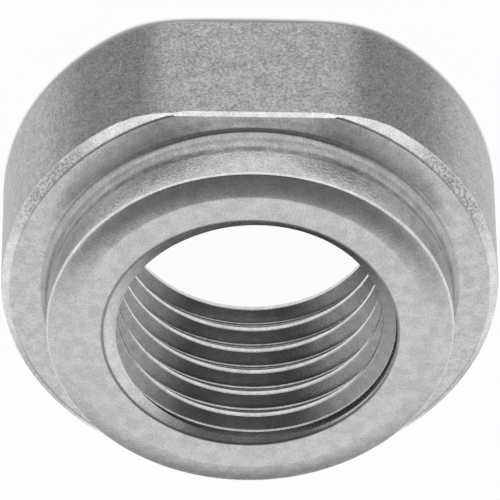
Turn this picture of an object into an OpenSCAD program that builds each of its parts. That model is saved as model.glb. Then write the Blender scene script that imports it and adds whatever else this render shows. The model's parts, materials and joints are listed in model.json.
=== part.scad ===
// Hub nut: a round body with two wrench flats, a pilot collar with a domed nose,
// and a threaded hole right through.
// Frame: the thread axis is +Z, the back face lies on Z = 0 with its centre at the origin,
// the collar points up, and the wrench flats face -Y and +Y. Millimetres.

/* [Body] */
// Outside diameter of the round body
body_d = 15.2; // [14.6:0.1:18]
// Height of the body, from the back face to the shoulder
body_h = 4.6; // [3:0.1:8]
// Distance across the two wrench flats
across_flats = 14; // [13.4:0.1:14.6]
// Radius of the blend from each end of a flat to the round body
flat_corner_r = 4.5; // [2:0.1:6]
// Radius of the rounded edge at the back face, round the body and along the flats
back_edge_r = 0.3; // [0.1:0.05:0.5]
// Radial width of the chamfer round the shoulder
shoulder_chamfer_w = 0.28; // [0.1:0.02:0.5]
// Height of the chamfer round the shoulder
shoulder_chamfer_h = 0.26; // [0.1:0.02:0.5]
// Width of the broken edge where each flat meets the shoulder
flat_edge_break = 0.11; // [0.05:0.01:0.3]

/* [Collar] */
// Outside diameter of the collar
collar_d = 12.4; // [11.4:0.1:13]
// Height of the collar above the shoulder
collar_h = 2; // [1:0.1:4]
// Radius of the fillet where the collar meets the shoulder
root_fillet_r = 0.3; // [0.1:0.05:0.5]
// Radial width of the domed nose round the front face
nose_w = 0.8; // [0.4:0.05:1]
// How far the dome drops from the front face to the collar wall
nose_h = 0.22; // [0.1:0.02:0.4]
// Radius of the dome in section
nose_r = 3; // [1.5:0.1:6]

/* [Thread] */
// Diameter of the drilled hole, across the crests of an M9 x 1 thread
drill_d = 8.1; // [7.9:0.05:8.5]
// Width of the countersunk ring at the front mouth, outside the thread crests
front_lead_w = 0.45; // [0.1:0.05:0.6]
// Width of the countersunk ring at the back mouth, outside the thread crests
back_lead_w = 0.8; // [0.2:0.05:1]
// Included angle of both countersinks
lead_angle = 120; // [90:5:130]

/* [Hidden] */
$fn = 128;
// A cut runs this far past the face it opens
overlap = 1;
body_r = body_d / 2;
flat_y = across_flats / 2;
collar_r = collar_d / 2;
total_h = body_h + collar_h;
bore_r = drill_d / 2;
// The blend's axis, from which it touches both the flat and the round body
corner_y = flat_y - flat_corner_r;
corner_x = sqrt(pow(body_r - flat_corner_r, 2) - pow(corner_y, 2));
corner_angle = atan2(corner_x, corner_y);
// The dome's chord runs from the front face down to the collar wall
nose_chord = sqrt(nose_w * nose_w + nose_h * nose_h);
nose_lean = atan2(nose_h, nose_w);
nose_reach = sqrt(nose_r * nose_r - nose_chord * nose_chord / 4);

// Half section of the body: the back edge is round and the shoulder edge is chamfered
module body_section() {
    polygon([
        [0, 0],
        [body_r - back_edge_r, 0],
        [body_r, back_edge_r],
        [body_r, body_h - shoulder_chamfer_h],
        [body_r - shoulder_chamfer_w, body_h],
        [0, body_h]
    ]);
    translate([body_r - back_edge_r, back_edge_r])
        circle(r = back_edge_r);
}

// What the nose leaves off the collar's corner: all that lies outside its arc
module nose_relief_section() {
    translate([
        collar_r - nose_w / 2 - nose_reach * sin(nose_lean),
        total_h - nose_h / 2 - nose_reach * cos(nose_lean)
    ])
        difference() {
            square(nose_r + overlap);
            circle(r = nose_r);
        }
}

// Half section of the collar, from the back face up, with its domed nose
module collar_section() {
    difference() {
        square([collar_r, total_h]);
        nose_relief_section();
    }
}

// Half section of the fillet that fills the corner between the collar and the shoulder
module root_fillet_section() {
    difference() {
        translate([collar_r, body_h])
            square(root_fillet_r);
        translate([collar_r + root_fillet_r, body_h + root_fillet_r])
            circle(r = root_fillet_r);
    }
}

// The turned blank, before the flats are milled and the hole is drilled
module turned_blank() {
    rotate_extrude() {
        body_section();
        collar_section();
        root_fillet_section();
    }
}

// What the two milled flats leave: a slab across Y, rounded at the back and broken at the shoulder
module between_flats() {
    front_y = flat_y - flat_edge_break;
    back_y = flat_y - back_edge_r;
    rotate([90, 0, 90])
        linear_extrude(height = body_d + 2 * overlap, center = true) {
            polygon([
                [-back_y, 0], [back_y, 0],
                [flat_y, back_edge_r], [flat_y, body_h - flat_edge_break],
                [front_y, body_h], [front_y, total_h],
                [-front_y, total_h], [-front_y, body_h],
                [-flat_y, body_h - flat_edge_break], [-flat_y, back_edge_r]
            ]);
            for (side = [-1, 1])
                translate([side * back_y, back_edge_r])
                    circle(r = back_edge_r);
        }
}

// What the blend at one end of a flat leaves off, with the same round back edge as the body
module corner_relief() {
    translate([corner_x, corner_y])
        rotate([0, 0, 90 - corner_angle])
            rotate_extrude(angle = corner_angle)
                difference() {
                    translate([flat_corner_r - back_edge_r, -overlap])
                        square([back_edge_r + overlap, body_h + 2 * overlap]);
                    translate([flat_corner_r - 2 * back_edge_r, back_edge_r])
                        square([2 * back_edge_r, body_h + 2 * overlap]);
                    translate([flat_corner_r - back_edge_r, back_edge_r])
                        circle(r = back_edge_r);
                }
}

// The blends at both ends of both flats
module flat_corners() {
    for (x_side = [0, 1], y_side = [0, 1])
        mirror([x_side, 0, 0])
            mirror([0, y_side, 0])
                corner_relief();
}

// A countersink that opens at Z = 0 and narrows upwards to the thread crests
module countersink(lead_w) {
    slope = tan(lead_angle / 2);
    translate([0, 0, -overlap])
        cylinder(
            h = overlap + lead_w / slope,
            r1 = bore_r + lead_w + overlap * slope,
            r2 = bore_r
        );
}

// The hole through the nut, drilled to the thread crests and countersunk at both mouths
module threaded_hole() {
    translate([0, 0, -overlap])
        cylinder(h = total_h + 2 * overlap, r = bore_r);
    countersink(back_lead_w);
    translate([0, 0, total_h])
        mirror([0, 0, 1])
            countersink(front_lead_w);
}

module hub_nut() {
    color([0.64, 0.64, 0.64])
        difference() {
            intersection() {
                turned_blank();
                between_flats();
            }
            flat_corners();
            threaded_hole();
        }
}

hub_nut();
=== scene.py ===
"""Looks of a zinc-plated hub nut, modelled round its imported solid.

The nut lies on its back face with the collar up and its wrench flats facing -Y and +Y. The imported
solid has a plain hole, so one finished mesh replaces it: a turned blank with milled flats and a
right-hand thread cut by a tap. Sizes come from the frame where it has them.
"""

import json
import logging
import math
from contextlib import contextmanager
from dataclasses import dataclass
from enum import Enum
from typing import Callable, Iterator, Sequence

import bmesh
import bpy
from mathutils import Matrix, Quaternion, Vector


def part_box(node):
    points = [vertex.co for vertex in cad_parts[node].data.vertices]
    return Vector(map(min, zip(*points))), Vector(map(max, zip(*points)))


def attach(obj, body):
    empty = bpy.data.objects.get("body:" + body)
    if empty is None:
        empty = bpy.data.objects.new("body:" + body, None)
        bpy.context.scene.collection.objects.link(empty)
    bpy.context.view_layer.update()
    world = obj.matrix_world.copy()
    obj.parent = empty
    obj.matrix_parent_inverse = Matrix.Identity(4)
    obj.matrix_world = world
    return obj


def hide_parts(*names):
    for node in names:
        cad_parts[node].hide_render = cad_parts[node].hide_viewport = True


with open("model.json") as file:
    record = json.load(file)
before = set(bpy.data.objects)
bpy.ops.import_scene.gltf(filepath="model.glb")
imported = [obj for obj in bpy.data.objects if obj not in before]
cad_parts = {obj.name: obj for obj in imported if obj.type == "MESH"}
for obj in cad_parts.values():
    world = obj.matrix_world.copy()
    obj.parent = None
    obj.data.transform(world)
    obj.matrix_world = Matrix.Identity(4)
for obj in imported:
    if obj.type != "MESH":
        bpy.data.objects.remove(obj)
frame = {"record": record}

LOG = logging.getLogger("hub_nut")
MM = 0.001
NUT_NODE = "hub_nut"
WELD = 0.0005 * MM

Point = tuple[float, float]
Value = float | bpy.types.NodeSocket


class FlatSide(Enum):
    """The way that a wrench flat faces along Y."""

    FRONT = -1.0
    REAR = 1.0


@contextmanager
def editing(piece: bpy.types.Object) -> Iterator[None]:
    """Opens one piece in edit mode with nothing else selected.

    Args:
        piece: the mesh object to edit.
    """
    bpy.ops.object.select_all(action="DESELECT")
    bpy.context.view_layer.objects.active = piece
    piece.select_set(True)
    bpy.ops.object.mode_set(mode="EDIT")
    bpy.ops.mesh.select_mode(type="VERT")
    yield
    bpy.ops.object.mode_set(mode="OBJECT")


def select_where(piece: bpy.types.Object, kind: str, test: Callable[..., bool]) -> int:
    """Selects the parts of a mesh in edit mode that pass a test, and nothing else.

    Args:
        piece: the mesh object, in edit mode.
        kind: VERT, EDGE or FACE.
        test: takes one bmesh vertex, edge or face and says whether it is selected.

    Returns:
        How many were selected.
    """
    bpy.ops.mesh.select_mode(type=kind)
    bpy.ops.mesh.select_all(action="DESELECT")
    mesh = bmesh.from_edit_mesh(piece.data)
    groups = {"VERT": mesh.verts, "EDGE": mesh.edges, "FACE": mesh.faces}
    chosen = [item for item in groups[kind] if test(item)]
    for item in chosen:
        item.select_set(True)
    mesh.select_flush_mode()
    bmesh.update_edit_mesh(piece.data)
    return len(chosen)


def apply_modifier(piece: bpy.types.Object, modifier: bpy.types.Modifier) -> None:
    """Applies one modifier of a piece.

    Args:
        piece: the object that carries the modifier.
        modifier: the modifier to apply.
    """
    bpy.ops.object.select_all(action="DESELECT")
    bpy.context.view_layer.objects.active = piece
    piece.select_set(True)
    bpy.ops.object.modifier_apply(modifier=modifier.name)


def trace_chain(name: str, points: Sequence[Point]) -> bpy.types.Object:
    """Draws an open chain of edges in the XZ half plane, one extruded vertex after another.

    Args:
        name: the new object's name.
        points: (radius, height) of each vertex, in metres.

    Returns:
        The new object, at the origin.
    """
    bpy.ops.object.select_all(action="DESELECT")
    bpy.ops.mesh.primitive_plane_add(size=MM)
    chain = bpy.context.object
    chain.name = name
    with editing(chain):
        bpy.ops.mesh.select_all(action="SELECT")
        bpy.ops.mesh.merge(type="CENTER")
        bpy.ops.transform.translate(value=(points[0][0], 0, points[0][1]))
        for (r0, z0), (r1, z1) in zip(points, points[1:]):
            step = {"value": (r1 - r0, 0, z1 - z0)}
            bpy.ops.mesh.extrude_region_move(TRANSFORM_OT_translate=step)
    return chain


def arc_points(centre: Point, radius: float, start: float, end: float, count: int) -> list[Point]:
    """Gives points along an arc, ends included.

    Args:
        centre: the arc's centre.
        radius: its radius.
        start: its first angle in degrees, counted from the first axis.
        end: its last angle in degrees.
        count: how many points.

    Returns:
        The points in order.
    """
    turns = [math.radians(start + (end - start) * i / (count - 1)) for i in range(count)]
    return [(centre[0] + radius * math.cos(t), centre[1] + radius * math.sin(t)) for t in turns]


class NodeSketch:
    """Adds nodes to one node tree and links them up."""

    def __init__(self, tree: bpy.types.NodeTree) -> None:
        """Starts on a node tree.

        Args:
            tree: the tree of a material or of the world.
        """
        self.nodes = tree.nodes
        self.links = tree.links

    def feed(self, socket: bpy.types.NodeSocket, value: Value) -> None:
        """Links a value to an input, or sets the input where the value is a plain number.

        Args:
            socket: the input.
            value: an output to link, or a number.
        """
        if isinstance(value, bpy.types.NodeSocket):
            self.links.new(value, socket)
        else:
            socket.default_value = value

    def math(self, operation: str, *values: Value) -> bpy.types.NodeSocket:
        """Adds a Math node.

        Args:
            operation: what it does, such as ADD.
            values: its inputs, in order.

        Returns:
            Its output.
        """
        node = self.nodes.new("ShaderNodeMath")
        node.operation = operation
        for socket, value in zip(node.inputs, values):
            self.feed(socket, value)
        return node.outputs["Value"]

    def fade(
        self,
        value: Value,
        start: float,
        end: float,
        low: float,
        high: float,
    ) -> bpy.types.NodeSocket:
        """Adds a smooth step from one level to another.

        Args:
            value: what drives the step.
            start: the value where the step starts.
            end: the value where it ends.
            low: the level up to the start.
            high: the level from the end on.

        Returns:
            The level.
        """
        node = self.nodes.new("ShaderNodeMapRange")
        node.interpolation_type = "SMOOTHSTEP"
        limits = {"Value": value, "From Min": start, "From Max": end, "To Min": low, "To Max": high}
        for name, limit in limits.items():
            self.feed(node.inputs[name], limit)
        return node.outputs["Result"]

    def axes(self, output: str) -> list[bpy.types.NodeSocket]:
        """Splits a texture coordinate.

        Args:
            output: which coordinate, such as Object.

        Returns:
            Its X, Y and Z.
        """
        place = self.nodes.new("ShaderNodeTexCoord")
        split = self.nodes.new("ShaderNodeSeparateXYZ")
        self.links.new(place.outputs[output], split.inputs["Vector"])
        return list(split.outputs)

    def noise(self, size: float, detail: float) -> bpy.types.NodeSocket:
        """Adds noise on the object's own coordinates.

        Args:
            size: how far apart its lumps lie, in metres.
            detail: how many finer layers it has.

        Returns:
            Its level, from 0 to 1.
        """
        place = self.nodes.new("ShaderNodeTexCoord")
        node = self.nodes.new("ShaderNodeTexNoise")
        node.inputs["Scale"].default_value = 1 / size
        node.inputs["Detail"].default_value = detail
        self.links.new(place.outputs["Object"], node.inputs["Vector"])
        return node.outputs["Fac"]

    def seen_rays(self) -> bpy.types.NodeSocket:
        """Tells camera, glossy and transmission rays from the others.

        Returns:
            A level that is 1 for those rays and 0 for all others.
        """
        rays = self.nodes.new("ShaderNodeLightPath").outputs
        mirrored = self.math("MAXIMUM", rays["Is Glossy Ray"], rays["Is Transmission Ray"])
        return self.math("MAXIMUM", rays["Is Camera Ray"], mirrored)


@dataclass(frozen=True)
class ZincFinish:
    """Dull zinc plating over tumbled steel: smooth where it was turned, grainy on the wall. Its colour
    also carries painted shade on the walls, in the lumps' hollows, beside the flats, in the collar's
    corner and in the thread's grooves, and a painted highlight on the chamfer beside the flats.
    """

    level: float = 0.80
    mean_level: float = 0.64
    roughness: float = 0.20
    wall_roughness: float = 0.34
    grain_size: float = 0.06 * MM
    grain_depth: float = 0.003 * MM
    grain_shade: float = 0.18
    grain_range: tuple[float, float] = (0.36, 0.60)
    fine_detail: float = 3.0
    lump_size: float = 0.085 * MM
    lump_depth: float = 0.009 * MM
    # painted shade in the hollows of the wall's lumps, on top of the grain's own random tone
    painted_pit_shade_level: float = 0.5
    pit_range: tuple[float, float] = (0.22, 0.74)
    collar_painted_pit_share: float = 0.5
    upright_lean: tuple[float, float] = (0.2, 0.5)
    # painted shade: the outer walls are darkened as if they reflected darker surroundings than the white
    # floor
    wall_painted_shade: float = 0.24
    cloud_size: float = 0.38 * MM
    cloud_shade: float = 0.16
    cloud_range: tuple[float, float] = (0.3, 0.7)
    broad_detail: float = 2.0
    # painted shade on the body wall beside the flats, standing in for dark reflections
    corner_painted_shade: float = 0.48
    corner_start: tuple[float, float] = (19.0, 28.0)
    corner_end: tuple[float, float] = (40.0, 60.0)
    # painted shade in the corner between the collar and the shoulder
    root_painted_shade: float = 0.45
    root_width: float = 0.24 * MM
    root_height: float = 0.45 * MM
    # painted shade in the thread's grooves inside the bore
    bore_painted_shade: float = 0.52
    rim_darkening: float = 0.55
    rim_width: float = 0.07 * MM
    mark_darkening: float = 0.55
    mark_lift: float = 0.66 * MM
    mark_width: float = 0.18 * MM
    mark_breaks: tuple[float, float] = (0.35, 0.6)
    mark_least: float = 0.3
    line_core: float = 0.3
    chamfer_rise: float = 0.7
    chamfer_spread: tuple[float, float] = (0.15, 0.25)
    # painted shade on the chamfer further round from the flats
    chamfer_painted_shade: float = 0.45
    chamfer_breaks: tuple[float, float] = (0.35, 0.65)
    chamfer_grain: tuple[float, float] = (0.5, 1.3)
    # painted highlight on the chamfer beside the flats
    chamfer_painted_highlight: float = 0.2
    highlight_start: tuple[float, float] = (14.0, 20.0)
    chamfer_start: tuple[float, float] = (32.0, 50.0)
    chamfer_end: tuple[float, float] = (62.0, 80.0)
    crest_edge: float = 0.03 * MM
    edge: float = 0.08 * MM

    def wall_mask(self, sketch: NodeSketch, radius: Value, wall_r: float) -> bpy.types.NodeSocket:
        """Marks the upright walls outside a radius.

        Args:
            sketch: the material's nodes.
            radius: the distance from the axis.
            wall_r: the radius outside which the walls lie.

        Returns:
            A level that is 1 on the walls.
        """
        lean = sketch.math("ABSOLUTE", sketch.axes("Normal")[2])
        upright = sketch.fade(lean, *self.upright_lean, 1.0, 0.0)
        outside = sketch.fade(radius, wall_r - self.edge, wall_r, 0.0, 1.0)
        return sketch.math("MULTIPLY", outside, upright)

    def corner_shade_mask(self, sketch: NodeSketch, turn: Value) -> bpy.types.NodeSocket:
        """Marks the sectors beside the flats, where the wall gets painted shade.

        Args:
            sketch: the material's nodes.
            turn: the angle from the flats' normals.

        Returns:
            A level that is 1 in those sectors.
        """
        starts = sketch.fade(turn, *map(math.radians, self.corner_start), 0.0, 1.0)
        ends = sketch.fade(turn, *map(math.radians, self.corner_end), 1.0, 0.0)
        return sketch.math("MULTIPLY", starts, ends)

    def root_shade_mask(
        self,
        sketch: NodeSketch,
        radius: Value,
        z: Value,
        root: Point,
    ) -> bpy.types.NodeSocket:
        """Marks the corner between the collar and the shoulder, which gets painted shade.

        Args:
            sketch: the material's nodes.
            radius: the distance from the axis.
            z: the height.
            root: the corner's radius and height.

        Returns:
            A level that is 1 in the corner.
        """
        near = sketch.fade(radius, root[0] + 0.5 * self.root_width, root[0] + self.root_width, 1.0, 0.0)
        outer = sketch.fade(radius, root[0] - 2 * self.edge, root[0] - self.edge, 0.0, 1.0)
        low = sketch.fade(z, root[1] + 0.2 * self.root_height, root[1] + self.root_height, 1.0, 0.0)
        return sketch.math("MULTIPLY", sketch.math("MULTIPLY", near, outer), low)

    def collar_dark_line(
        self,
        sketch: NodeSketch,
        radius: Value,
        z: Value,
        root: Point,
    ) -> bpy.types.NodeSocket:
        """Gives the dark broken line that runs round the collar's wall.

        Args:
            sketch: the material's nodes.
            radius: the distance from the axis.
            z: the height.
            root: radius and height of the corner between the collar and the shoulder.

        Returns:
            How much darker the plating is there.
        """
        off_mark = sketch.math("ABSOLUTE", sketch.math("SUBTRACT", z, root[1] + self.mark_lift))
        core = self.line_core * self.mark_width
        ring = sketch.fade(off_mark, core, self.mark_width, self.mark_darkening, 0.0)
        inner = sketch.fade(radius, root[0] - 2 * self.edge, root[0] - self.edge, 0.0, 1.0)
        clouds = sketch.noise(self.cloud_size, self.broad_detail)
        broken = sketch.fade(clouds, *self.mark_breaks, self.mark_least, 1.0)
        return sketch.math("MULTIPLY", sketch.math("MULTIPLY", ring, inner), broken)

    def chamfer_sheen_and_shade(
        self,
        sketch: NodeSketch,
        radius: Value,
        turn: Value,
        wall_r: float,
    ) -> bpy.types.NodeSocket:
        """Gives the chamfer's painted light: a painted highlight beside the flats, and grainy painted
        shade further on.

        Args:
            sketch: the material's nodes.
            radius: the distance from the axis.
            turn: the angle from the flats' normals.
            wall_r: the radius outside which the chamfer lies.

        Returns:
            How much darker the plating is there, below 0 where it is brighter.
        """
        off_slope = sketch.math("SUBTRACT", sketch.axes("Normal")[2], self.chamfer_rise)
        slope = sketch.fade(sketch.math("ABSOLUTE", off_slope), *self.chamfer_spread, 1.0, 0.0)
        outside = sketch.fade(radius, wall_r, wall_r + self.edge, 0.0, 1.0)
        starts = sketch.fade(turn, *map(math.radians, self.chamfer_start), 0.0, 1.0)
        # painted shade on the chamfer further round, broken up by the lumps
        ends = sketch.fade(turn, *map(math.radians, self.chamfer_end), self.chamfer_painted_shade, 0.0)
        lumps = sketch.noise(self.lump_size, self.broad_detail)
        broken = sketch.fade(lumps, *self.chamfer_breaks, *self.chamfer_grain)
        dark = sketch.math("MULTIPLY", sketch.math("MULTIPLY", starts, ends), broken)
        # painted highlight on the chamfer beside the flats
        beside = sketch.fade(turn, *map(math.radians, self.highlight_start), 0.0, self.chamfer_painted_highlight)
        painted_highlight = sketch.math("MULTIPLY", beside, sketch.math("SUBTRACT", 1.0, starts))
        sheen_and_shade = sketch.math("SUBTRACT", dark, painted_highlight)
        return sketch.math("MULTIPLY", sheen_and_shade, sketch.math("MULTIPLY", slope, outside))

    def bore_shade_and_rim_line(
        self,
        sketch: NodeSketch,
        radius: Value,
        z: Value,
        mouth: Point,
        crest_r: float,
    ) -> bpy.types.NodeSocket:
        """Gives painted shade in the thread's grooves and a dark line along the rim of the front mouth.

        Args:
            sketch: the material's nodes.
            radius: the distance from the axis.
            z: the height.
            mouth: the front mouth's radius and the height where its countersink ends.
            crest_r: the radius at the thread's crests, which stay bright.

        Returns:
            How much darker the plating is there.
        """
        # painted shade in the grooves below the front mouth; the crests stay bright
        inside = sketch.fade(radius, mouth[0] - self.edge, mouth[0], self.bore_painted_shade, 0.0)
        groove = sketch.fade(radius, crest_r, crest_r + self.crest_edge, 0.0, 1.0)
        inside = sketch.math("MULTIPLY", inside, groove)
        deep = sketch.fade(z, mouth[1] - self.edge, mouth[1] + self.edge, 1.0, 0.0)
        off_rim = sketch.math("ABSOLUTE", sketch.math("SUBTRACT", radius, mouth[0]))
        core = self.line_core * self.rim_width
        rim = sketch.fade(off_rim, core, self.rim_width, self.rim_darkening, 0.0)
        return sketch.math("MAXIMUM", sketch.math("MULTIPLY", inside, deep), rim)

    def material(self, wall_r: float, root: Point, mouth: Point, crest_r: float) -> bpy.types.Material:
        """Builds the plating's node material.

        Args:
            wall_r: the radius outside which the body's wall lies.
            root: radius and height of the corner between the collar and the shoulder.
            mouth: the front mouth's radius and the height where its countersink ends.
            crest_r: the radius at the thread's crests.

        Returns:
            The new material.
        """
        plating = bpy.data.materials.new("zinc_plating")
        plating.use_nodes = True
        sketch = NodeSketch(plating.node_tree)
        x, y, z = sketch.axes("Object")
        across = sketch.math("ABSOLUTE", x)
        along = sketch.math("ABSOLUTE", y)
        squares = sketch.math("ADD", sketch.math("POWER", across, 2.0), sketch.math("POWER", along, 2.0))
        radius = sketch.math("SQRT", squares)
        wall = self.wall_mask(sketch, radius, wall_r)
        grainy = self.wall_mask(sketch, radius, root[0] - self.edge)
        turn = sketch.math("ARCTAN2", across, along)
        # painted shade beside the flats, on the body's wall only
        corner = sketch.math("MULTIPLY", wall, self.corner_shade_mask(sketch, turn))
        grain = sketch.noise(self.grain_size, self.fine_detail)
        lumps = sketch.noise(self.lump_size, self.fine_detail)
        clouds = sketch.noise(self.cloud_size, self.broad_detail)
        coarse = sketch.math("MULTIPLY", sketch.math("MULTIPLY", lumps, grainy), self.lump_depth)
        bump = sketch.nodes.new("ShaderNodeBump")
        bump.inputs["Distance"].default_value = 1.0
        sketch.feed(bump.inputs["Height"], sketch.math("MULTIPLY_ADD", grain, self.grain_depth, coarse))
        # the lumps' low points get darker: painted shade in the bump's hollows, on top of the grain's
        # own tone
        painted_pit_shade = sketch.fade(lumps, *self.pit_range, self.painted_pit_shade_level, 0.0)
        collar_painted_pit_share = sketch.math("MULTIPLY", grainy, self.collar_painted_pit_share)
        shades = (
            sketch.fade(grain, *self.grain_range, self.grain_shade, 0.0),
            sketch.fade(clouds, *self.cloud_range, self.cloud_shade, 0.0),
            # painted shade in the hollows of the lumps on the walls, half as strong on the collar
            sketch.math("MULTIPLY", painted_pit_shade, sketch.math("MAXIMUM", wall, collar_painted_pit_share)),
            # painted shade on the outer walls, standing in for darker reflections
            sketch.math("MULTIPLY", wall, self.wall_painted_shade),
            # painted shade beside the flats
            sketch.math("MULTIPLY", corner, self.corner_painted_shade),
            # painted shade in the corner between the collar and the shoulder
            sketch.math("MULTIPLY", self.root_shade_mask(sketch, radius, z, root), self.root_painted_shade),
            # painted shade in the thread's grooves, and a dark line along the front mouth's rim
            self.bore_shade_and_rim_line(sketch, radius, z, mouth, crest_r),
            self.collar_dark_line(sketch, radius, z, root),
            # painted highlight and painted shade on the chamfer
            self.chamfer_sheen_and_shade(sketch, radius, turn, wall_r),
        )
        level = self.level
        for shade in shades:
            level = sketch.math("MULTIPLY", level, sketch.math("SUBTRACT", 1.0, shade))
        shader = sketch.nodes["Principled BSDF"]
        mean = self.mean_level
        shader.inputs["Base Color"].default_value = (mean, mean, mean, 1)
        shader.inputs["Metallic"].default_value = 1.0
        sketch.feed(shader.inputs["Base Color"], level)
        dullness = sketch.fade(wall, 0.0, 1.0, self.roughness, self.wall_roughness)
        sketch.feed(shader.inputs["Roughness"], dullness)
        sketch.feed(shader.inputs["Normal"], bump.outputs["Normal"])
        return plating


@dataclass
class Tap:
    """The cutter for the internal thread: a long right-hand screw, closed at both ends."""

    crest_r: float
    pitch: float = 1.0 * MM
    depth: float = 0.43 * MM
    crest_w: float = 0.15 * MM
    flank_angle: float = 60.0
    edge_round: float = 0.02 * MM
    root_round: float = 0.07 * MM
    first_crest_z: float = -2.225 * MM
    round_steps: int = 3
    turns: int = 12
    steps: int = 128

    def section_points(self) -> list[Point]:
        """Gives one pitch of the thread's section, from root to root.

        Returns:
            (radius, height) points at the angle 0, the crest's upper edge a quarter pitch low.
        """
        rise = self.depth / math.tan(math.radians(self.flank_angle))
        root_w = self.pitch - self.crest_w - 2 * rise
        top = self.first_crest_z - self.pitch / 4
        root_r = self.crest_r + self.depth
        return [
            (root_r, top - self.crest_w - rise - root_w / 2),
            (root_r, top - self.crest_w - rise),
            (self.crest_r, top - self.crest_w),
            (self.crest_r, top),
            (root_r, top + rise),
            (root_r, top + rise + root_w / 2),
        ]

    def round_section(self, chain: bpy.types.Object, points: Sequence[Point]) -> None:
        """Rounds the crest's edges and the root's corners on the section.

        Args:
            chain: the section's chain of edges.
            points: the section's own points.
        """
        rounds = {1: self.root_round, 2: self.edge_round, 3: self.edge_round, 4: self.root_round}
        with editing(chain):
            for index, offset in rounds.items():
                corner = Vector((points[index][0], 0, points[index][1]))
                select_where(chain, "VERT", lambda v: (v.co - corner).length < WELD)
                bpy.ops.mesh.bevel(affect="VERTICES", offset=offset, segments=self.round_steps)

    def close_end(self, screw: bpy.types.Object, upper: bool) -> None:
        """Closes one open end of the screw with a point on the axis.

        Args:
            screw: the swept thread, in edit mode.
            upper: whether this is the upper end.
        """
        heights = [v.co.z for v in bmesh.from_edit_mesh(screw.data).verts]
        middle = (min(heights) + max(heights)) / 2
        tip = max(heights) + self.pitch if upper else min(heights) - self.pitch
        select_where(
            screw,
            "EDGE",
            lambda e: e.is_boundary and (e.verts[0].co.z > middle) == upper,
        )
        bpy.ops.mesh.extrude_region_move()
        bpy.ops.transform.resize(value=(0, 0, 0), center_override=(0, 0, tip))
        bpy.ops.mesh.select_mode(type="VERT")
        bpy.ops.mesh.select_all(action="SELECT")
        bpy.ops.mesh.remove_doubles(threshold=WELD)

    def build(self) -> bpy.types.Object:
        """Models the cutter.

        Returns:
            The closed screw.
        """
        points = self.section_points()
        screw = trace_chain("tap", points)
        self.round_section(screw, points)
        sweep = screw.modifiers.new("sweep", "SCREW")
        sweep.axis = "Z"
        sweep.angle = 2 * math.pi
        sweep.screw_offset = self.pitch
        sweep.iterations = self.turns
        sweep.steps = self.steps
        sweep.render_steps = self.steps
        apply_modifier(screw, sweep)
        with editing(screw):
            bpy.ops.mesh.select_all(action="SELECT")
            bpy.ops.mesh.remove_doubles(threshold=WELD)
            self.close_end(screw, upper=False)
            self.close_end(screw, upper=True)
            bpy.ops.mesh.select_all(action="SELECT")
            bpy.ops.mesh.normals_make_consistent(inside=False)
        return screw


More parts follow.
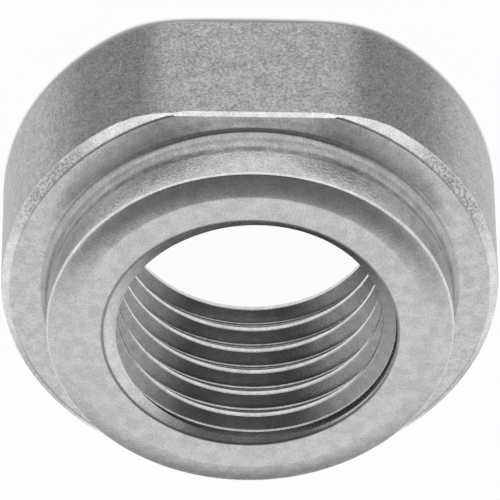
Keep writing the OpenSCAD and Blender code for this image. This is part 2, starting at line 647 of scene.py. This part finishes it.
@dataclass
class HubNut:
    """The nut: a turned blank with milled flats and a tapped hole."""

    body_r: float
    flat_y: float
    shoulder_z: float
    top_z: float
    collar_r: float
    crest_r: float
    finish: ZincFinish
    pilot_r: float = 3.85 * MM
    back_edge_r: float = 0.30 * MM
    chamfer_w: float = 0.28 * MM
    chamfer_h: float = 0.26 * MM
    root_fillet_r: float = 0.30 * MM
    nose_w: float = 0.80 * MM
    nose_h: float = 0.22 * MM
    nose_r: float = 3.00 * MM
    front_lead_w: float = 0.45 * MM
    back_lead_w: float = 0.80 * MM
    lead_angle: float = 120.0
    flat_edge_break: float = 0.11 * MM
    flat_corner_r: float = 4.50 * MM
    edge_round: float = 0.065 * MM
    crease_round: float = 0.03 * MM
    segments: int = 256
    round_steps: int = 5
    nose_steps: int = 8
    smooth_angle: float = 35.0
    ring_spacing: float = 0.33 * MM
    corner_facets: int = 5
    edge_facets: int = 4

    @classmethod
    def from_frame(cls, record: dict, finish: ZincFinish) -> "HubNut":
        """Reads the nut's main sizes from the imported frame.

        Args:
            record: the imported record.
            finish: the nut's finish.

        Returns:
            The nut, not yet built.
        """
        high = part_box(NUT_NODE)[1]
        mounts = {mount["name"]: mount for mount in record["mounts"]}
        return cls(
            body_r=high.x,
            flat_y=high.y,
            shoulder_z=mounts["shoulder"]["pos_m"][2],
            top_z=high.z,
            collar_r=mounts["collar_pilot"]["dims"]["r_mm"] * MM,
            crest_r=mounts["axle_thread"]["dims"]["r_mm"] * MM,
            finish=finish,
        )

    def nose_points(self) -> list[Point]:
        """Gives the domed nose's arc, from the collar wall in to the front face.

        Returns:
            (radius, height) points.
        """
        half_chord = math.hypot(self.nose_w, self.nose_h) / 2
        lean = math.degrees(math.atan2(self.nose_h, self.nose_w))
        spread = math.degrees(math.asin(half_chord / self.nose_r))
        inner = math.radians(90 - lean + spread)
        centre_r = self.collar_r - self.nose_w - self.nose_r * math.cos(inner)
        centre_z = self.top_z - self.nose_r * math.sin(inner)
        centre = (centre_r, centre_z)
        ends = (90 - lean - spread, 90 - lean + spread)
        return arc_points(centre, self.nose_r, *ends, self.nose_steps)

    def section_points(self) -> list[Point]:
        """Gives the corners of the blank's half section, from the back mouth round to the front one.

        Returns:
            (radius, height) points.
        """
        slope = math.tan(math.radians(self.lead_angle / 2))
        back_mouth_r = self.crest_r + self.back_lead_w
        front_mouth_r = self.crest_r + self.front_lead_w
        return [
            (self.pilot_r, (back_mouth_r - self.pilot_r) / slope),
            (back_mouth_r, 0),
            (self.body_r, 0),
            (self.body_r, self.shoulder_z - self.chamfer_h),
            (self.body_r - self.chamfer_w, self.shoulder_z),
            (self.collar_r, self.shoulder_z),
            *self.nose_points(),
            (front_mouth_r, self.top_z),
            (self.pilot_r, self.top_z - (front_mouth_r - self.pilot_r) / slope),
        ]

    def round_corners(self, blank: bpy.types.Object, points: Sequence[Point]) -> None:
        """Rounds the corners of the section, each by its own size.

        Args:
            blank: the section's chain of edges, in edit mode.
            points: the section's corners.
        """
        rounds = {
            1: self.edge_round,
            2: self.back_edge_r,
            3: self.edge_round,
            4: self.edge_round,
            5: self.root_fillet_r,
            6: self.edge_round,
            len(points) - 3: self.crease_round,
            len(points) - 2: self.crease_round,
        }
        for index, offset in rounds.items():
            corner = Vector((points[index][0], 0, points[index][1]))
            select_where(blank, "VERT", lambda v: (v.co - corner).length < WELD)
            bpy.ops.mesh.bevel(affect="VERTICES", offset=offset, segments=self.round_steps)

    def space_rings(self, blank: bpy.types.Object) -> None:
        """Subdivides the long edges of the section, so that the turned faces have even rings.

        Args:
            blank: the section's chain of edges, in edit mode.
        """
        while select_where(blank, "EDGE", lambda e: e.calc_length() > self.ring_spacing):
            bpy.ops.mesh.subdivide(number_cuts=1)

    def turn_blank(self) -> bpy.types.Object:
        """Spins the half section into the blank, with a pilot hole smaller than the thread.

        Returns:
            The turned blank.
        """
        points = self.section_points()
        blank = trace_chain("threaded_hub_nut", points)
        with editing(blank):
            bpy.ops.mesh.select_all(action="SELECT")
            bpy.ops.mesh.edge_face_add()
            self.round_corners(blank, points)
            bpy.ops.mesh.select_all(action="SELECT")
            bpy.ops.mesh.delete(type="ONLY_FACE")
            self.space_rings(blank)
            bpy.ops.mesh.select_all(action="SELECT")
            bpy.ops.mesh.spin(
                steps=self.segments,
                angle=2 * math.pi,
                center=(0, 0, 0),
                axis=(0, 0, 1),
            )
            bpy.ops.mesh.select_all(action="SELECT")
            bpy.ops.mesh.remove_doubles(threshold=WELD)
            bpy.ops.mesh.normals_make_consistent(inside=False)
        return blank

    def slice_off(self, blank: bpy.types.Object, point: Vector, normal: Vector) -> None:
        """Cuts the body back to a plane and closes the cut, leaving the collar alone.

        Args:
            blank: the blank, in edit mode.
            point: a point on the plane.
            normal: the plane's normal, pointing at what is cut away.
        """
        body_top = self.shoulder_z + WELD
        select_where(blank, "FACE", lambda f: all(v.co.z < body_top for v in f.verts))
        bpy.ops.mesh.bisect(
            plane_co=point,
            plane_no=normal,
            use_fill=True,
            clear_outer=True,
            threshold=WELD,
        )

    def round_back(self, blank: bpy.types.Object, foot: Vector, out: Vector) -> None:
        """Rounds the back edge of a milled face by a few tilted cuts.

        Args:
            blank: the blank, in edit mode.
            foot: a point on the edge.
            out: the milled face's normal.
        """
        hinge = foot + (Vector((0, 0, 1)) - out) * self.back_edge_r
        for cut in range(1, self.edge_facets + 1):
            lean = math.radians(90 * cut / (self.edge_facets + 1))
            normal = out * math.cos(lean) - Vector((0, 0, math.sin(lean)))
            self.slice_off(blank, hinge + normal * self.back_edge_r, normal)

    def mill_flat(self, blank: bpy.types.Object, side: FlatSide) -> None:
        """Mills one wrench flat with its blends to the round body, and breaks the edges.

        Args:
            blank: the blank, in edit mode.
            side: which flat.
        """
        corner_y = self.flat_y - self.flat_corner_r
        corner_x = math.sqrt((self.body_r - self.flat_corner_r) ** 2 - corner_y**2)
        widest = math.atan2(corner_x, corner_y)
        for facet in range(-self.corner_facets, self.corner_facets + 1):
            turn = widest * facet / (self.corner_facets + 0.5)
            out = Vector((math.sin(turn), side.value * math.cos(turn), 0))
            centre = Vector((math.copysign(corner_x, facet), side.value * corner_y, 0))
            foot = centre + out * self.flat_corner_r
            self.slice_off(blank, foot, out)
            self.round_back(blank, foot, out)
        out = Vector((0, side.value, 0))
        edge = out * (self.flat_y - self.flat_edge_break) + Vector((0, 0, self.shoulder_z))
        self.slice_off(blank, edge, out + Vector((0, 0, 1)))

    def tap_hole(self, blank: bpy.types.Object) -> None:
        """Cuts the thread through the pilot hole.

        Args:
            blank: the milled blank.
        """
        tap = Tap(crest_r=self.crest_r).build()
        cut = blank.modifiers.new("tapped_hole", "BOOLEAN")
        cut.operation = "DIFFERENCE"
        cut.solver = "EXACT"
        cut.object = tap
        apply_modifier(blank, cut)
        bpy.data.objects.remove(tap)

    def even_normals(self, nut: bpy.types.Object) -> None:
        """Smooths the nut and lets large faces rule the normals, so that flats and flanks stay flat.

        The weights are areas, which are too small in metres, so the mesh is enlarged meanwhile.

        Args:
            nut: the tapped nut.
        """
        bpy.ops.object.select_all(action="DESELECT")
        nut.select_set(True)
        bpy.context.view_layer.objects.active = nut
        bpy.ops.object.shade_smooth_by_angle(angle=math.radians(self.smooth_angle))
        self.enlarge(nut, 1 / MM)
        even = nut.modifiers.new("even_normals", "WEIGHTED_NORMAL")
        even.keep_sharp = True
        apply_modifier(nut, even)
        self.enlarge(nut, MM)

    def enlarge(self, nut: bpy.types.Object, factor: float) -> None:
        """Scales the nut's mesh about the origin.

        Args:
            nut: the nut.
            factor: how many times.
        """
        with editing(nut):
            bpy.ops.mesh.select_all(action="SELECT")
            bpy.ops.transform.resize(value=(factor, factor, factor), center_override=(0, 0, 0))

    def build(self) -> bpy.types.Object:
        """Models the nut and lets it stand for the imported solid.

        Returns:
            The finished piece.
        """
        nut = self.turn_blank()
        with editing(nut):
            for side in FlatSide:
                self.mill_flat(nut, side)
        self.tap_hole(nut)
        self.even_normals(nut)
        nut.data.materials.clear()
        root = (self.collar_r, self.shoulder_z)
        lead_h = self.front_lead_w / math.tan(math.radians(self.lead_angle / 2))
        mouth = (self.crest_r + self.front_lead_w, self.top_z - lead_h)
        wall_r = self.flat_y - self.back_edge_r
        nut.data.materials.append(self.finish.material(wall_r, root, mouth, self.crest_r))
        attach(nut, "root")
        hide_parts(NUT_NODE)
        return nut


@dataclass
class Studio:
    """White paper under the nut, soft light from all round, and the camera."""

    body_r: float
    flat_y: float
    hole_r: float
    floor_size: float = 2.0
    contact_level: float = 0.3
    contact_edge: float = 0.08 * MM
    corner_blend: float = 0.83 * MM
    floor_glow: float = 0.96
    paper_level: float = 0.9
    aim: tuple[float, float, float] = (-0.019 * MM, 0.0, 2.66 * MM)
    distance: float = 241.53 * MM
    elevation: float = 49.58
    azimuth: float = 1.76
    roll: float = 179.39
    lens: float = 565.8
    tent: tuple[Point, ...] = (
        (-1.0, 1.15),
        (1.0, 0.22),
        (-0.54, 1.15),
        (-0.42, 0.25),
        (-0.34, 0.08),
        (0.3, 0.2),
        (0.38, 0.27),
        (0.47, 0.54),
        (0.57, 0.76),
        (0.68, 0.82),
        (0.82, 0.74),
        (0.92, 0.5),
    )
    tent_strength: float = 2.0
    side_level: float = 1.05
    side_start: float = 0.3
    side_end: float = 0.82

    def lay_floor(self) -> bpy.types.Object:
        """Lays the floor under the nut.

        Returns:
            The floor.
        """
        bpy.ops.object.select_all(action="DESELECT")
        bpy.ops.mesh.primitive_plane_add(size=self.floor_size)
        floor = bpy.context.object
        floor.name = "floor"
        floor.data.materials.append(self.paper())
        return floor

    def paper(self) -> bpy.types.Material:
        """Builds the floor's material: white paper that takes the nut's shadow.

        Returns:
            The new material.
        """
        paper = bpy.data.materials.new("white_paper")
        paper.use_nodes = True
        sketch = NodeSketch(paper.node_tree)
        x, y, _ = sketch.axes("Object")
        level = self.contact(sketch, x, y)
        shader = sketch.nodes["Principled BSDF"]
        shader.inputs["Specular IOR Level"].default_value = 0.0
        sketch.feed(shader.inputs["Base Color"], sketch.math("MULTIPLY", level, self.paper_level))
        glow = sketch.nodes.new("ShaderNodeEmission")
        sketch.feed(glow.inputs["Color"], level)
        mix = sketch.nodes.new("ShaderNodeMixShader")
        sketch.feed(mix.inputs["Fac"], sketch.math("MULTIPLY", sketch.seen_rays(), self.floor_glow))
        sketch.links.new(shader.outputs["BSDF"], mix.inputs[1])
        sketch.links.new(glow.outputs["Emission"], mix.inputs[2])
        sketch.links.new(mix.outputs["Shader"], sketch.nodes["Material Output"].inputs["Surface"])
        return paper

    def contact(self, sketch: NodeSketch, x: Value, y: Value) -> bpy.types.NodeSocket:
        """Darkens the paper under the nut, where no light reaches it.

        Args:
            sketch: the paper's nodes.
            x: the place on the paper across the flats' normals.
            y: the place on the paper along the flats' normals.

        Returns:
            The paper's level there, 1 outside the nut's outline and inside its hole.
        """
        squares = sketch.math("ADD", sketch.math("POWER", x, 2.0), sketch.math("POWER", y, 2.0))
        radius = sketch.math("SQRT", squares)
        round_depth = sketch.math("SUBTRACT", self.body_r, radius)
        flat_depth = sketch.math("SUBTRACT", self.flat_y, sketch.math("ABSOLUTE", y))
        depth = sketch.math("SMOOTH_MIN", round_depth, flat_depth, self.corner_blend)
        edges = (-0.5 * self.contact_edge, 1.5 * self.contact_edge)
        outline = sketch.fade(depth, *edges, 1.0, self.contact_level)
        hole = sketch.fade(radius, self.hole_r, self.hole_r + self.contact_edge, 1.0, 0.0)
        return sketch.math("MAXIMUM", outline, hole)

    def light_world(self) -> None:
        """Surrounds the nut with a tent: bright in front and behind, grey at the sides, dim overhead."""
        world = bpy.data.worlds.new("tent")
        world.use_nodes = True
        sketch = NodeSketch(world.node_tree)
        x, y, _ = sketch.axes("Generated")
        ramp = sketch.nodes.new("ShaderNodeValToRGB")
        sketch.feed(ramp.inputs["Fac"], sketch.math("MULTIPLY_ADD", y, 0.5, 0.5))
        stops = ramp.color_ramp.elements
        for number, (along_y, light) in enumerate(self.tent):
            stop = stops[number] if number < 2 else stops.new((along_y + 1) / 2)
            level = light / self.tent_strength
            stop.color = (level, level, level, 1)
        side_level = self.side_level / self.tent_strength
        off_side = sketch.math("ABSOLUTE", x)
        side = sketch.fade(off_side, self.side_start, self.side_end, 0.0, side_level)
        background = sketch.nodes["Background"]
        sketch.feed(background.inputs["Color"], sketch.math("MAXIMUM", ramp.outputs["Color"], side))
        background.inputs["Strength"].default_value = self.tent_strength
        bpy.context.scene.world = world

    def place_camera(self) -> bpy.types.Object:
        """Places the camera on the -Y side, turned half round its own axis.

        Returns:
            The camera.
        """
        lens = bpy.data.cameras.new("camera")
        lens.lens = self.lens
        lens.clip_start = MM
        camera = bpy.data.objects.new("camera", lens)
        bpy.context.scene.collection.objects.link(camera)
        swing = Quaternion((0, 0, 1), math.radians(self.azimuth))
        tip = Quaternion((1, 0, 0), math.radians(90 - self.elevation))
        roll = Quaternion((0, 0, 1), math.radians(self.roll))
        camera.rotation_mode = "QUATERNION"
        camera.rotation_quaternion = swing @ tip @ roll
        back = swing @ tip @ Vector((0, 0, self.distance))
        camera.location = Vector(self.aim) + back
        bpy.context.scene.camera = camera
        return camera

    def build(self) -> None:
        """Builds the studio."""
        self.lay_floor()
        self.light_world()
        self.place_camera()
        bpy.context.scene.view_settings.view_transform = "Standard"


def main() -> None:
    """Builds the nut and the studio."""
    logging.basicConfig(level=logging.INFO, format="%(name)s: %(message)s")
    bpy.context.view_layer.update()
    nut = HubNut.from_frame(frame["record"], ZincFinish())
    piece = nut.build()
    LOG.info("%s: %d faces", piece.name, len(piece.data.polygons))
    Studio(nut.body_r, nut.flat_y, nut.crest_r + nut.back_lead_w).build()


if __name__ == "__main__":
    main()
